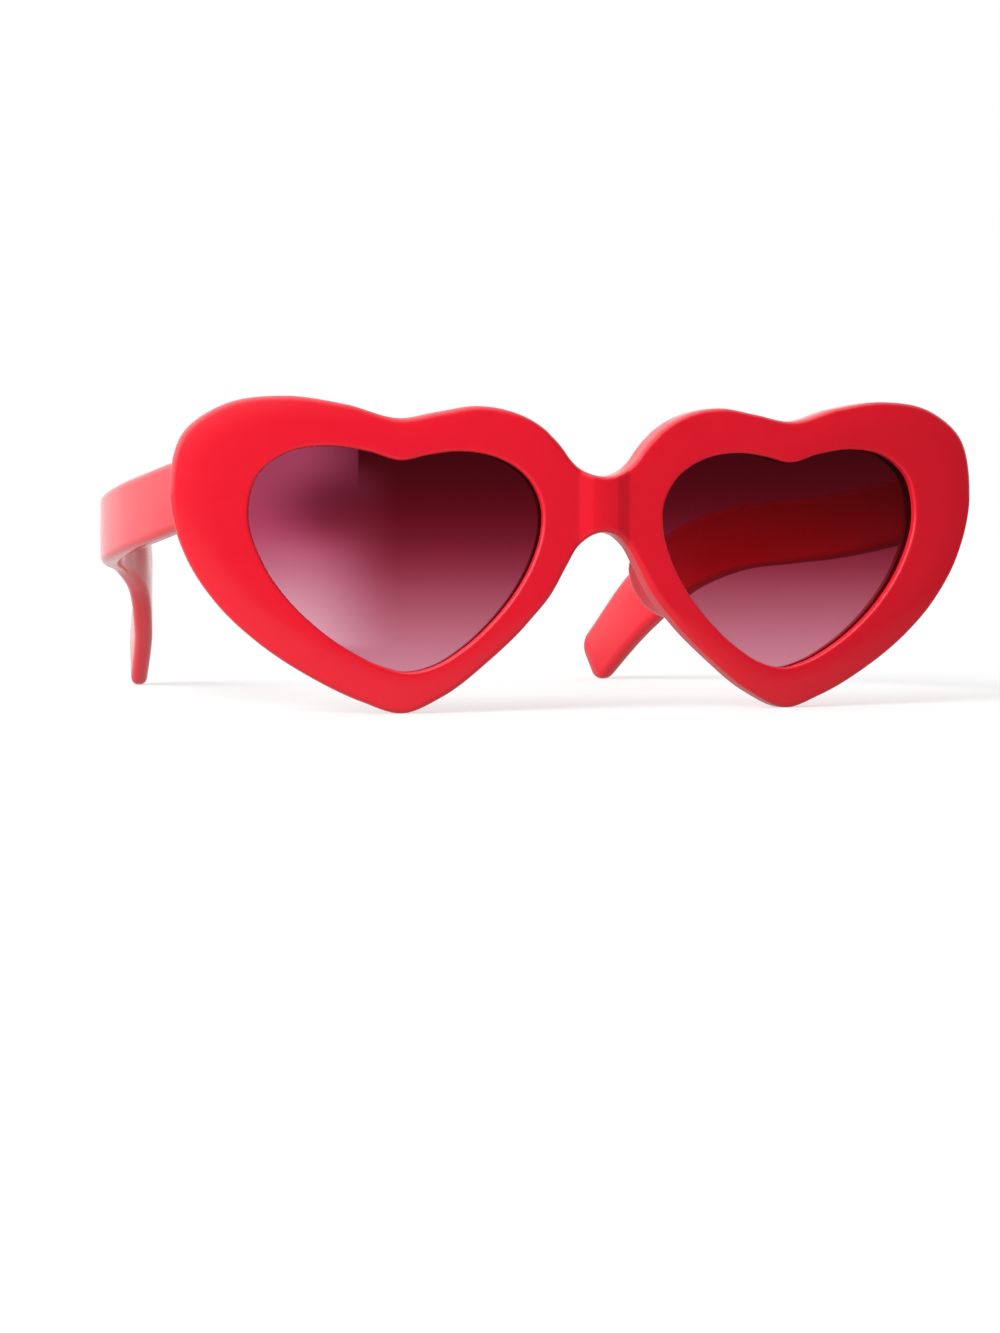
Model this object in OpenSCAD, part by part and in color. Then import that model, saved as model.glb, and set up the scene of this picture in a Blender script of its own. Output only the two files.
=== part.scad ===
// Heart shaped sunglasses: a bowed plastic front with two heart openings, two tinted
// lenses in grooves, and two plastic temples on three-knuckle metal hinges.
// x points to the wearer's left, y to the back, z up; the pair stands on the two heart
// points and the two temple tips, with the middle of its footprint at the origin.

/* [Front] */
// Distance between the two hearts at the nose
heart_gap = 16.4; // [14:0.1:20]
// Thickness of the front
front_t = 4.5; // [4.2:0.1:6]
// Radius of the bow of the front face, seen from above
bow_r = 337; // [300:1:600]
// Rounding of the outer front edge
front_round = 1.8; // [0.6:0.1:2]
// Rounding of the edges of the back face
back_round = 0.9; // [0.4:0.1:1.1]

/* [Lens openings] */
// Width of a heart opening, measured along the bowed front
opening_w = 55.1; // [50:0.1:57]
// Height of a heart opening
opening_h = 41.4; // [37:0.1:44]
// Wall between the opening and the heart's edge at the nose
nose_wall = 3.7; // [3:0.1:5]
// Wall between the point of the opening and the point of the heart
point_wall = 7.6; // [6:0.1:9]
// Wall between the top of the opening and the top of the heart
brow_wall = 8.7; // [7:0.1:11]
// Rounding of the front edge of the opening
opening_round = 0.9; // [0.4:0.1:1.2]

/* [Lenses] */
// Thickness of a lens
lens_t = 1.8; // [1.4:0.1:2]
// Depth of the lens groove behind the front face
groove_back = 1.3; // [1.2:0.1:1.4]
// How far the groove is cut into the wall
groove_depth = 1.2; // [0.8:0.1:1.4]
// Play between a lens face and the groove
lens_face_play = 0.08; // [0.03:0.01:0.12]
// Play between a lens edge and the bottom of the groove
lens_edge_play = 0.3; // [0.2:0.05:0.5]

/* [Bridge] */
// How far the underside of the bridge lies below the top of the hearts
bridge_drop = 24.7; // [22:0.1:27]
// Height of the bridge at its middle
bridge_h = 10.3; // [8:0.1:12]
// How far the raised bar stands in front of the hearts
bar_proud = 1; // [0.5:0.1:1.5]
// Width of the raised bar where it leaves the bridge
bar_base_w = 10.4; // [9:0.1:12]
// Width of the flat land of the raised bar
bar_land_w = 4.6; // [3:0.1:6]
// How far the bridge lies behind the front face beside the bar
bridge_back = 0.2; // [0.2:0.05:0.6]

/* [Nose pads] */
// Length of a nose pad
pad_l = 14; // [11:0.5:15]
// Width of a nose pad on the frame
pad_w = 4.8; // [4:0.1:5.2]
// How far a nose pad stands behind the frame
pad_h = 6; // [4:0.1:8]
// How far a nose pad leans towards the nose
pad_lean = 1.8; // [0.5:0.1:2.5]
// Glue line between a nose pad and the frame
glue_gap = 0.05; // [0.02:0.01:0.1]

/* [Temples] */
// Length of a temple, straight back from the hinge
temple_l = 121.5; // [112:0.5:130]
// Greatest height of a temple, over the ear
temple_h = 13.8; // [11.5:0.1:15]
// Thickness of a temple
temple_t = 4.2; // [4:0.1:5]
// How far the hinges lie below the top of the hearts
hinge_drop = 17.5; // [15:0.1:20]
// Distance of a temple's outer face from the heart's outer edge
temple_inset = 1.9; // [1.5:0.1:2.4]
// How far the tip of a temple lies further in than its hinge
temple_wrap = 23.5; // [18:0.5:26]
// Rounding of the long edges of a temple
temple_round = 1.5; // [0.8:0.1:1.8]
// Rounding of the end of a temple, seen from the side
tip_round = 4.5; // [3:0.1:5]

/* [Core wires] */
// Diameter of the wire inside a temple
wire_d = 1.3; // [1:0.1:1.5]
// How far the wire starts behind the front end of its temple
wire_start = 3; // [2:0.5:6]
// How far the wire stops short of the tip
wire_short = 14; // [10:0.5:20]
// Play round the wire
wire_play = 0.05; // [0.03:0.01:0.1]

/* [Hinges] */
// Height of a hinge
hinge_h = 7.5; // [6.6:0.1:8.4]
// Outside diameter of a knuckle
knuckle_d = 3.2; // [3:0.1:3.4]
// Diameter of the hinge screw
pin_d = 1.4; // [1.2:0.1:1.6]
// Running clearance round the hinge screw
pin_play = 0.05; // [0.03:0.01:0.08]
// Gap between two knuckles
knuckle_gap = 0.1; // [0.05:0.01:0.2]
// Gap between the knuckles and the plastic beside them
knuckle_room = 0.35; // [0.3:0.05:0.5]
// Gap between the end of a temple and the back of the front
butt_gap = 0.25; // [0.2:0.05:0.4]
// Thickness of a hinge plate
leaf_t = 1; // [0.8:0.05:1.1]
// How far a hinge plate stands proud of the plastic
leaf_proud = 0.1; // [0.05:0.01:0.15]
// Width of the plate on the front, inwards from the hinge screw
front_leaf_w = 4.2; // [4:0.1:5]
// Wall between the plate on the front and the lens groove
leaf_wall = 0.45; // [0.4:0.05:2]
// Length of the plate on the temple
temple_leaf_l = 11; // [10:0.5:13]
// Height of the plate on the temple
temple_leaf_h = 6.5; // [6:0.1:7]
// Play round a plate in its pocket
leaf_play = 0.08; // [0.04:0.01:0.12]

/* [Small screws] */
// Shank diameter of the small screws in the plates
small_d = 1.1; // [0.9:0.1:1.2]
// Head diameter of the small screws
small_head_d = 2; // [1.8:0.1:2.1]
// Length of the small screws
small_l = 2.6; // [2.2:0.1:2.8]
// Play round a small screw
small_play = 0.04; // [0.02:0.01:0.06]
// Head diameter of the hinge screw
pin_head_d = 2.6; // [2.2:0.1:2.8]
// Head height of the hinge screw
pin_head_h = 0.8; // [0.5:0.1:1]
// Width of the driver slots
slot_w = 0.4; // [0.3:0.05:0.5]

/* [Hidden] */

red = "#e3202f";
dark_red = "#c81c2c";
wine = "#6b1230";
steel = "#c9ccd1";

RIGHT = -1;
LEFT = 1;
overrun = 1;
facets = 96;

// Heart outline, from its point outwards and round: shares of its width and its height
heart_shares = [
    [0.415, 0], [0.515, 0.037], [0.645, 0.115], [0.776, 0.222], [0.880, 0.343],
    [0.957, 0.487], [1, 0.705], [0.965, 0.886], [0.868, 0.971], [0.720, 1],
    [0.560, 0.975], [0.418, 0.932], [0.322, 0.953], [0.215, 0.972], [0.112, 0.948],
    [0.035, 0.893], [0.004, 0.800], [0.003, 0.680], [0, 0.550], [0.007, 0.420],
    [0.085, 0.287], [0.195, 0.158], [0.310, 0.052]];
// Outline of the opening, each point facing the point of the heart with the same place
opening_shares = [
    [0.465, 0], [0.550, 0.025], [0.664, 0.098], [0.775, 0.202], [0.865, 0.318],
    [0.945, 0.468], [1, 0.710], [0.968, 0.872], [0.875, 0.969], [0.743, 1],
    [0.600, 0.977], [0.487, 0.938], [0.395, 0.963], [0.290, 0.979], [0.155, 0.950],
    [0.052, 0.863], [0.004, 0.740], [0.003, 0.625], [0.032, 0.495], [0.092, 0.352],
    [0.178, 0.215], [0.275, 0.102], [0.372, 0.026]];
// Upper edge of the bridge: shares of the gap between the hearts and of the bridge height
bridge_top_shares = [[0.64, 1.78], [0.46, 1.41], [0.26, 1.11], [0, 1],
    [-0.26, 1.11], [-0.46, 1.41], [-0.64, 1.78]];
// Lower edge of the bridge, the arch over the nose
bridge_arch_shares = [[-0.6, -1], [-0.44, -0.62], [-0.28, -0.22], [-0.14, -0.05], [0, 0],
    [0.14, -0.05], [0.28, -0.22], [0.44, -0.62], [0.6, -1]];
// Course of a temple: shares of its length, its wrap, its drop, its height, its thickness
temple_shares = [
    [0, 0, 0, 0.91, 1], [0.13, -0.07, 0.068, 0.93, 1], [0.295, -0.092, 0.139, 0.945, 1],
    [0.443, -0.016, 0.194, 0.955, 1], [0.557, 0.14, 0.226, 0.965, 1],
    [0.656, 0.38, 0.266, 0.98, 0.98], [0.754, 0.64, 0.385, 1, 0.95],
    [0.869, 0.85, 0.655, 0.96, 0.9], [1, 1, 1, 0.84, 0.82]];
// Place of a nose pad on the frame: shares of the heart's width and height
pad_place_shares = [0.062, 0.405];
// Direction of a nose pad, down and away from the nose
pad_turn = -66;
// Places of the small screws on the plates: shares of the plate
front_screw_share = 0.72;
temple_screw_shares = [0.24, 0.76];
screw_rise_share = 0.3;

samples = 5;
temple_samples = 4;

groove_w = lens_t + 2 * lens_face_play;
lens_front = groove_back + lens_face_play;
pin_r = pin_d / 2;
knuckle_r = knuckle_d / 2;
knuckle_h = (hinge_h - 2 * knuckle_gap) / 3;
// The hinge screw stands beside the temple's inner face and behind the front
pin_out = temple_t + knuckle_room + knuckle_r;
pin_back = knuckle_room + knuckle_r;
// From the opening outwards the heart holds the groove, the plate, the knuckles and the temple
side_wall = groove_depth + leaf_wall + front_leaf_w + pin_out + temple_inset;
heart_in = heart_gap / 2;
opening_in = heart_in + nose_wall;
heart_w = nose_wall + opening_w + side_wall;
heart_h = point_wall + opening_h + brow_wall;
bridge_z = heart_h - bridge_drop;
hinge_z = heart_h - hinge_drop;

// Place of a point of the unrolled front: length along the bow, height, depth behind the face
function bowed(p, depth) = let (turn = p.x / bow_r * 180 / PI, r = bow_r - depth)
    [r * sin(turn), bow_r - r * cos(turn), p.y];

// Direction of a smooth curve at b, between a and c
function lean(a, b, c) = let (d = norm(b - a), e = norm(c - b))
    ((b - a) / d * e + (c - b) / e * d) / (d + e);
// Point at share t of the curve from b to c, which leaves along m and arrives along n
function along(b, c, m, n, t) = let (d = norm(c - b))
    (2 * t ^ 3 - 3 * t ^ 2 + 1) * b + (t ^ 3 - 2 * t ^ 2 + t) * d * m
    + (3 * t ^ 2 - 2 * t ^ 3) * c + (t ^ 3 - t ^ 2) * d * n;
// Smooth closed curve through the points p
function closed_curve(p, n) = let (c = len(p))
    [for (i = [0:c - 1])
        let (a = p[(i + c - 1) % c], b = p[i], d = p[(i + 1) % c], e = p[(i + 2) % c])
        for (j = [0:n - 1]) along(b, d, lean(a, b, d), lean(b, d, e), j / n)];
// Smooth open curve through the points p
function open_curve(p, n) = let (last = len(p) - 1)
    concat([for (i = [0:last - 1])
        let (b = p[i], d = p[i + 1], straight = (d - b) / norm(d - b),
            m = i == 0 ? straight : lean(p[i - 1], b, d),
            q = i == last - 1 ? straight : lean(b, d, p[i + 2]))
        for (j = [0:n - 1]) along(b, d, m, q, j / n)], [p[last]]);
// The same closed curve, moved to its left by d
function moved(c, i, d) = let (n = len(c), w = c[(i + 1) % n] - c[(i + n - 1) % n])
    c[i] + d * [-w.y, w.x] / norm(w);

heart_line = closed_curve([for (s = heart_shares)
    [heart_in + s.x * heart_w, s.y * heart_h]], samples);
opening_line = closed_curve([for (s = opening_shares)
    [opening_in + s.x * opening_w, point_wall + s.y * opening_h]], samples);
steps = len(heart_line);

// Section of the rim: 0 for the heart's edge or 1 for the opening's, inset, depth
round_turns = [0, 30, 60, 90];
rim_section = concat(
    [[0, 0, front_t - back_round]],
    [for (a = round_turns) [0, front_round * (1 - cos(a)), front_round * (1 - sin(a))]],
    [for (a = [90, 45, 0])
        [1, opening_round * (1 - cos(a)), opening_round * (1 - sin(a))]],
    [[1, 0, groove_back], [1, groove_depth, groove_back],
        [1, groove_depth, groove_back + groove_w], [1, 0, groove_back + groove_w],
        [1, back_round / 2, front_t], [0, back_round, front_t]]);

// Skin of a solid made of rings of m points each; a loop closes on itself
function ring_skin(n, m, loop) = concat(
    [for (i = [0:n - (loop ? 1 : 2)]) for (j = [0:m - 1])
        let (k = (i + 1) % n, l = (j + 1) % m)
        each [[i * m + j, i * m + l, k * m + l], [i * m + j, k * m + l, k * m + j]]],
    loop ? [] : [[for (j = [m - 1:-1:0]) j], [for (j = [0:m - 1]) (n - 1) * m + j]]);

module rim() {
    points = [for (i = [0:steps - 1]) for (s = rim_section)
        bowed(s[0] == 0 ? moved(heart_line, i, s[1]) : moved(opening_line, i, -s[1]), s[2])];
    polyhedron(points, ring_skin(steps, len(rim_section), true));
}

module on_side(side) {
    mirror([side == LEFT ? 0 : 1, 0, 0]) children();
}
// Drawn with the bridge's front face at y = 0, and moved so that the middle is there
module placed(side) {
    translate([0, front_y, 0]) on_side(side) children();
}

// Bar between the hearts: its outline seen from the front, cut to its section from above
module bridge() {
    outline = concat(
        open_curve([for (s = bridge_top_shares)
            [s.x * heart_gap, bridge_z + s.y * bridge_h]], samples),
        open_curve([for (s = bridge_arch_shares)
            [s.x * heart_gap, bridge_z + s.y * bridge_h]], samples));
    reach = heart_gap;
    intersection() {
        translate([0, front_t, 0])
            rotate([90, 0, 0])
                linear_extrude(front_t + bar_proud) polygon(outline);
        linear_extrude(heart_h)
            polygon([[-reach, front_t - bridge_back], [-reach, bridge_back],
                [-bar_base_w / 2, bridge_back], [-bar_land_w / 2, -bar_proud],
                [bar_land_w / 2, -bar_proud], [bar_base_w / 2, bridge_back],
                [reach, bridge_back], [reach, front_t - bridge_back]]);
    }
}

// Course of the left temple: each station is y, x of the outer face, z, height, thickness
hinge_s = heart_in + heart_w - temple_inset;
back_place = bowed([hinge_s, hinge_z], front_t);
temple_x = back_place.x;
back_turn = hinge_s / bow_r * 180 / PI;
bow_depth = bow_r - (bow_r - front_t) * cos(back_turn);
tip_rest_share = 0.402;
temple_drop = hinge_z - temple_h * tip_rest_share;
temple_line = open_curve([for (s = temple_shares)
    [back_place.y + butt_gap + s[0] * temple_l, temple_x - s[1] * temple_wrap,
        hinge_z - s[2] * temple_drop, s[3] * temple_h, s[4] * temple_t]], temple_samples);
stations = len(temple_line);

// Directions at a station: along the temple, outwards, and up
function course(i) = let (a = temple_line[max(i - 1, 0)],
        b = temple_line[min(i + 1, stations - 1)], w = [b[1] - a[1], b[0] - a[0], b[2] - a[2]],
        t = w / norm(w), n = [t.y, -t.x, 0] / norm([t.x, t.y]))
    [t, n, cross(n, t)];
function outer_point(i) = [temple_line[i][1], temple_line[i][0], temple_line[i][2]];
// A section of height h and thickness t with rounded corners, from the outer face inwards
function rounded_section(h, t, r) = [for (q = [[0, 1, 0], [-1, 1, 90], [-1, -1, 180],
        [0, -1, 270]]) for (a = [0, 45, 90])
    [q[0] * t + (q[0] == 0 ? -r : r) + r * cos(q[2] + a),
        q[1] * (h / 2 - r) + r * sin(q[2] + a)]];
function temple_ring(i, h, t, r, ahead) = let (c = course(i), p = outer_point(i))
    [for (s = rounded_section(h, t, r))
        p + ahead * c[0] + (s.x - (temple_line[i][4] - t) / 2) * c[1] + s.y * c[2]];
// The front end is cut to lie against the back of the front
function mitred(p) = [p.x, back_place.y + butt_gap + (p.x - back_place.x) * tan(back_turn), p.z];

tip_turns = [30, 60, 85];
front_ring = [for (p = temple_ring(0, temple_line[0][3], temple_line[0][4], temple_round, 0))
    mitred(p)];
body_rings = [for (i = [1:stations - 1])
    temple_ring(i, temple_line[i][3], temple_line[i][4], temple_round, 0)];
tip_rings = let (last = stations - 1) [for (a = tip_turns)
    temple_ring(last, temple_line[last][3] - 2 * tip_round * (1 - cos(a)),
        temple_line[last][4] - 2 * temple_round * (1 - cos(a)),
        temple_round * (1 + 3 * cos(a)) / 4, tip_round * sin(a))];
temple_rings = concat([front_ring], body_rings, tip_rings);
module temple_body() {
    polyhedron([for (r = temple_rings) each r],
        ring_skin(len(temple_rings), len(front_ring), false));
}

// The origin lies in the middle between the raised bar and the ends of the temples
back_y = max([for (r = temple_rings) for (p = r) p.y]);
front_y = (bar_proud - back_y) / 2;

// Stations that the core wire passes, and its round section
wire_line = [for (i = [0:stations - 1])
    if (temple_line[i][0] > back_place.y + wire_start
        && temple_line[i][0] < back_place.y + temple_l - wire_short) i];
wire_turns = [0:45:315];
function wire_ring(i, d, ahead) = let (c = course(i), mid = temple_line[i][4] / 2)
    [for (a = wire_turns) outer_point(i) + ahead * c[0]
        + (d / 2 * cos(a) - mid) * c[1] + d / 2 * sin(a) * c[2]];
module wire_tube(d, lead, tail) {
    first = wire_line[0];
    last = wire_line[len(wire_line) - 1];
    rings = concat(lead > 0 ? [wire_ring(first, d, -lead)] : [],
        [for (i = wire_line) wire_ring(i, d, 0)],
        tail > 0 ? [wire_ring(last, d, tail)] : []);
    polyhedron([for (r = rings) each r], ring_skin(len(rings), len(rings[0]), false));
}

// Place of the hinge screw, and the direction of the temple from there
splay = atan2(temple_shares[1][1] * temple_wrap, temple_shares[1][0] * temple_l);
hinge_s_pin = hinge_s - pin_out;
pin_turn = hinge_s_pin / bow_r * 180 / PI;
pin_place = bowed([hinge_s_pin, hinge_z], front_t + pin_back);

// Frame of the hinge on the front: x along the back face outwards, y to the rear
module at_front_leaf() {
    translate(pin_place) rotate([0, 0, pin_turn]) children();
}
// Frame of the hinge on the temple: y along the temple's inner face
module at_temple_leaf() {
    translate(pin_place) rotate([0, 0, splay]) children();
}

module knuckle(level) {
    translate([0, 0, -hinge_h / 2 + level * (knuckle_h + knuckle_gap)])
        difference() {
            children();
            translate([0, 0, -overrun])
                cylinder(r = pin_r + pin_play, h = knuckle_h + 2 * overrun, $fn = facets);
        }
}

module small_screw(play) {
    cone_h = (small_head_d - small_d) / 2;
    r = small_d / 2 + play;
    translate([0, 0, -small_l - play]) cylinder(r = r, h = small_l + play, $fn = facets);
    translate([0, 0, -cone_h]) cylinder(r1 = r, r2 = r + cone_h, h = cone_h, $fn = facets);
}
module slotted_screw() {
    difference() {
        small_screw(0);
        translate([-small_head_d, -slot_w / 2, -slot_w])
            cube([2 * small_head_d, slot_w, slot_w + overrun]);
    }
}

front_leaf_face = -pin_back + leaf_proud;
// A plate, or its pocket with play round it that reaches past the plastic
module front_leaf_plate(play, past) {
    translate([-front_leaf_w - play, front_leaf_face - leaf_t - play, -hinge_h / 2 - play])
        cube([front_leaf_w + knuckle_r + 2 * play, leaf_t + play + past, hinge_h + 2 * play]);
}
module at_front_screws() {
    for (up = [-1, 1])
        translate([-front_leaf_w * front_screw_share, front_leaf_face,
            up * hinge_h * screw_rise_share])
            rotate([-90, 0, 0]) children();
}

temple_face_x = pin_out - temple_t - leaf_proud;
temple_leaf_start = knuckle_r;
module temple_leaf_plate(play, past) {
    translate([temple_face_x - past, temple_leaf_start - play, -temple_leaf_h / 2 - play])
        cube([leaf_t + play + past, temple_leaf_l + 2 * play, temple_leaf_h + 2 * play]);
}
// The neck joins the plate on the temple to its knuckle, from the middle of the pin outwards;
// its slot is open to the end of the temple
module temple_leaf_neck(play, past) {
    translate([0, -knuckle_r / 2 - play - past, -knuckle_h / 2 - play])
        cube([temple_face_x + leaf_t + play, temple_leaf_start + knuckle_r + play + past,
            knuckle_h + 2 * play]);
}
module at_temple_screws() {
    for (s = temple_screw_shares)
        translate([temple_face_x, temple_leaf_start + temple_leaf_l * s,
            temple_leaf_h * screw_rise_share])
            rotate([0, -90, 0]) children();
}

module frame_front() {
    color(red)
        difference() {
            union() {
                rim();
                on_side(RIGHT) rim();
                bridge();
            }
            for (side = [LEFT, RIGHT])
                on_side(side) at_front_leaf() {
                    front_leaf_plate(leaf_play, overrun);
                    at_front_screws() small_screw(small_play);
                }
        }
}

module lens() {
    grow = groove_depth - lens_edge_play;
    mid = lens_front + lens_t / 2;
    outline = [for (i = [0:steps - 1])
        let (p = bowed(moved(opening_line, i, -grow), mid)) [p.x, p.z]];
    color(wine, 0.85)
        intersection() {
            translate([0, bow_r, 0])
                difference() {
                    cylinder(r = bow_r - lens_front, h = heart_h, $fn = 4 * facets);
                    translate([0, 0, -overrun])
                        cylinder(r = bow_r - lens_front - lens_t, h = heart_h + 2 * overrun,
                            $fn = 4 * facets);
                }
            translate([0, bow_depth, 0])
                rotate([90, 0, 0]) linear_extrude(bow_depth) polygon(outline);
        }
}

// A pad is a pile of shrinking ovals that leans towards the nose
pad_turns = [0:15:345];
pad_rise_turns = [0, 25, 45, 62, 77];
module nose_pad() {
    centre = [heart_in + pad_place_shares.x * heart_w, pad_place_shares.y * heart_h];
    rings = [for (b = pad_rise_turns)
        let (rise = pad_h * sin(b), size = cos(b) ^ 0.6)
        [for (a = pad_turns)
            let (u = pad_l / 2 * size * cos(a), v = pad_w / 2 * size * sin(a))
            bowed([centre.x + u * cos(pad_turn) - v * sin(pad_turn)
                    - pad_lean * (rise / pad_h) ^ 2,
                centre.y + u * sin(pad_turn) + v * cos(pad_turn)],
                front_t + glue_gap + rise)]];
    color(dark_red)
        polyhedron([for (r = rings) each r], ring_skin(len(rings), len(rings[0]), false));
}

module hinge_front_leaf() {
    color(steel)
        at_front_leaf() {
            difference() {
                union() {
                    front_leaf_plate(0, 0);
                    for (level = [0, 2])
                        knuckle(level) {
                            cylinder(r = knuckle_r, h = knuckle_h, $fn = facets);
                            translate([-knuckle_r, front_leaf_face, 0])
                                cube([knuckle_d, -front_leaf_face, knuckle_h]);
                        }
                }
                at_front_screws() small_screw(small_play);
            }
        }
}

module hinge_temple_leaf() {
    color(steel)
        at_temple_leaf()
            difference() {
                union() {
                    temple_leaf_plate(0, 0);
                    knuckle(1) {
                        cylinder(r = knuckle_r, h = knuckle_h, $fn = facets);
                        translate([0, 0, knuckle_h / 2]) temple_leaf_neck(0, 0);
                    }
                }
                at_temple_screws() small_screw(small_play);
            }
}

module hinge_screw() {
    color(steel)
        translate(pin_place)
            difference() {
                translate([0, 0, -hinge_h / 2]) {
                    cylinder(r = pin_r, h = hinge_h + knuckle_gap, $fn = facets);
                    translate([0, 0, hinge_h + knuckle_gap])
                        cylinder(d = pin_head_d, h = pin_head_h, $fn = facets);
                }
                translate([-pin_head_d, -slot_w / 2, hinge_h / 2 + pin_head_h - slot_w / 2])
                    cube([2 * pin_head_d, slot_w, slot_w + overrun]);
            }
}

module temple() {
    color(red)
        difference() {
            temple_body();
            wire_tube(wire_d + 2 * wire_play, wire_start + 2 * overrun, wire_play);
            at_temple_leaf() {
                temple_leaf_plate(leaf_play, overrun);
                temple_leaf_neck(leaf_play, overrun);
                at_temple_screws() small_screw(small_play);
            }
        }
}

module core_wire() {
    color(steel) wire_tube(wire_d, 0, 0);
}

module front_leaf_screws() {
    color(steel) at_front_leaf() at_front_screws() slotted_screw();
}

module temple_leaf_screws() {
    color(steel) at_temple_leaf() at_temple_screws() slotted_screw();
}

placed(LEFT) frame_front();
placed(RIGHT) lens();  // lens_right
placed(LEFT) lens();  // lens_left
placed(RIGHT) nose_pad();  // nose_pad_right
placed(LEFT) nose_pad();  // nose_pad_left
placed(RIGHT) hinge_front_leaf();  // hinge_front_leaf_right
placed(LEFT) hinge_front_leaf();  // hinge_front_leaf_left
placed(RIGHT) front_leaf_screws();  // front_leaf_screws_right
placed(LEFT) front_leaf_screws();  // front_leaf_screws_left
placed(RIGHT) hinge_screw();  // hinge_screw_right
placed(LEFT) hinge_screw();  // hinge_screw_left
placed(RIGHT) temple();  // temple_right
placed(LEFT) temple();  // temple_left
placed(RIGHT) core_wire();  // core_wire_right
placed(LEFT) core_wire();  // core_wire_left
placed(RIGHT) hinge_temple_leaf();  // hinge_temple_leaf_right
placed(LEFT) hinge_temple_leaf();  // hinge_temple_leaf_left
placed(RIGHT) temple_leaf_screws();  // temple_leaf_screws_right
placed(LEFT) temple_leaf_screws();  // temple_leaf_screws_left
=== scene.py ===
import bpy
import bmesh
import math
import numpy as np
from mathutils import Matrix, Vector


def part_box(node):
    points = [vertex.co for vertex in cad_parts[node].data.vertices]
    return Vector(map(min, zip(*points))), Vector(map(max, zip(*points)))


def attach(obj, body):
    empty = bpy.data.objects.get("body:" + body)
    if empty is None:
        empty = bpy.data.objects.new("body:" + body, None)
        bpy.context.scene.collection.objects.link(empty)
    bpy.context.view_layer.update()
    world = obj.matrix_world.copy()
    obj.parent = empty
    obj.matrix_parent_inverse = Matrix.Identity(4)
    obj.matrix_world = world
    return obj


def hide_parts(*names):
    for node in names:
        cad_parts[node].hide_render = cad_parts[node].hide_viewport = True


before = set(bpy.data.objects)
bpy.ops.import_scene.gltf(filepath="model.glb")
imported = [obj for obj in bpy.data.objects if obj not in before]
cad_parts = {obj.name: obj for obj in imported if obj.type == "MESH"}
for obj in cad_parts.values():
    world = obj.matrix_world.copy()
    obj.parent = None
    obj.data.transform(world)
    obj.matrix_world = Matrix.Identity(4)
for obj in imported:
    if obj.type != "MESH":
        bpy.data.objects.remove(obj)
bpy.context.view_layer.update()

# Camera: the photograph was taken from the wearer's right, a little above the hearts. The
# place and the turn were fitted to the outlines of both hearts, in a frame of 1000 x 1333
# pixels.
CAMERA_PLACE = (-0.28660, -0.80148, 0.03925)
CAMERA_TURN, CAMERA_TILT, CAMERA_ROLL = 19.986, 2.26, 0.128
CAMERA_LENS = 115.15
SENSOR = 36


def linked(name, data):
    """A new object of a mesh, a lamp or a camera, put in the scene."""
    made = bpy.data.objects.new(name, data)
    bpy.context.scene.collection.objects.link(made)
    return made


camera_data = bpy.data.cameras.new("camera")
camera_data.lens = CAMERA_LENS
camera_data.sensor_width = SENSOR
camera = linked("camera", camera_data)
camera.location = CAMERA_PLACE
camera.rotation_euler = (Matrix.Rotation(math.radians(-CAMERA_TURN), 3, "Z")
                         @ Matrix.Rotation(math.radians(90 - CAMERA_TILT), 3, "X")
                         @ Matrix.Rotation(math.radians(CAMERA_ROLL), 3, "Z")).to_euler()
bpy.context.scene.camera = camera

# Front: two heart rims and a bridge, cut from one sheet of red acetate, bent to a bow and
# tumbled until the edges are round. Each opening has a groove that the lens snaps into.
MM = 0.001
HEART_GAP, FRONT_T, BOW_R = 16.4 * MM, 4.5 * MM, 337 * MM
FRONT_ROUND, BACK_ROUND, OPENING_ROUND = 1.15 * MM, 0.7 * MM, 0.6 * MM
OPENING_W, OPENING_H = 54.85 * MM, 41 * MM
NOSE_WALL, SIDE_WALL, POINT_WALL, BROW_WALL = 3.7 * MM, 14.15 * MM, 7.6 * MM, 9.1 * MM
HEART_W = NOSE_WALL + OPENING_W + SIDE_WALL
HEART_H = POINT_WALL + OPENING_H + BROW_WALL
GROOVE_BACK, GROOVE_DEPTH, GROOVE_W = 1.3 * MM, 1.2 * MM, 1.96 * MM
CROWN_H, CROWN_W, CROWN_SHARE, CROWN_START = 0.45 * MM, 7 * MM, 0.85, 2 * MM
FLAT_END, CROWN_FULL = 12 * MM, 22 * MM
BAR_PROUD = 1 * MM
HEART_IN = HEART_GAP / 2
OPENING_IN = HEART_IN + NOSE_WALL
FRONT_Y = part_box("frame_front")[0][1] + BAR_PROUD
SHARP = math.radians(38)
BACK_STEPS, FRONT_STEPS, FACE_STEPS, OPENING_STEPS, LIP_STEPS = 5, 10, 16, 7, 4
WELD = 1e-7

HEART_SHARES = [
    (0.415, 0), (0.515, 0.037), (0.645, 0.115), (0.776, 0.222), (0.880, 0.343),
    (0.957, 0.487), (1, 0.705), (0.965, 0.886), (0.868, 0.971), (0.720, 1),
    (0.560, 0.975), (0.418, 0.932), (0.322, 0.953), (0.215, 0.972), (0.124, 0.953),
    (0.065, 0.919), (0.029, 0.884), (0.001, 0.830), (0.003, 0.680), (0, 0.550),
    (0.007, 0.420), (0.085, 0.287), (0.195, 0.158), (0.310, 0.052)]
OPENING_SHARES = [
    (0.465, 0), (0.550, 0.025), (0.664, 0.098), (0.775, 0.202), (0.865, 0.318),
    (0.945, 0.468), (1, 0.710), (0.968, 0.872), (0.875, 0.969), (0.743, 1),
    (0.600, 0.977), (0.487, 0.938), (0.395, 0.963), (0.290, 0.979), (0.155, 0.950),
    (0.0993, 0.914), (0.052, 0.863), (0.004, 0.740), (0.003, 0.625), (0.032, 0.495),
    (0.092, 0.352), (0.178, 0.215), (0.275, 0.102), (0.372, 0.026)]
RIM_SAMPLES = 22


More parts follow.
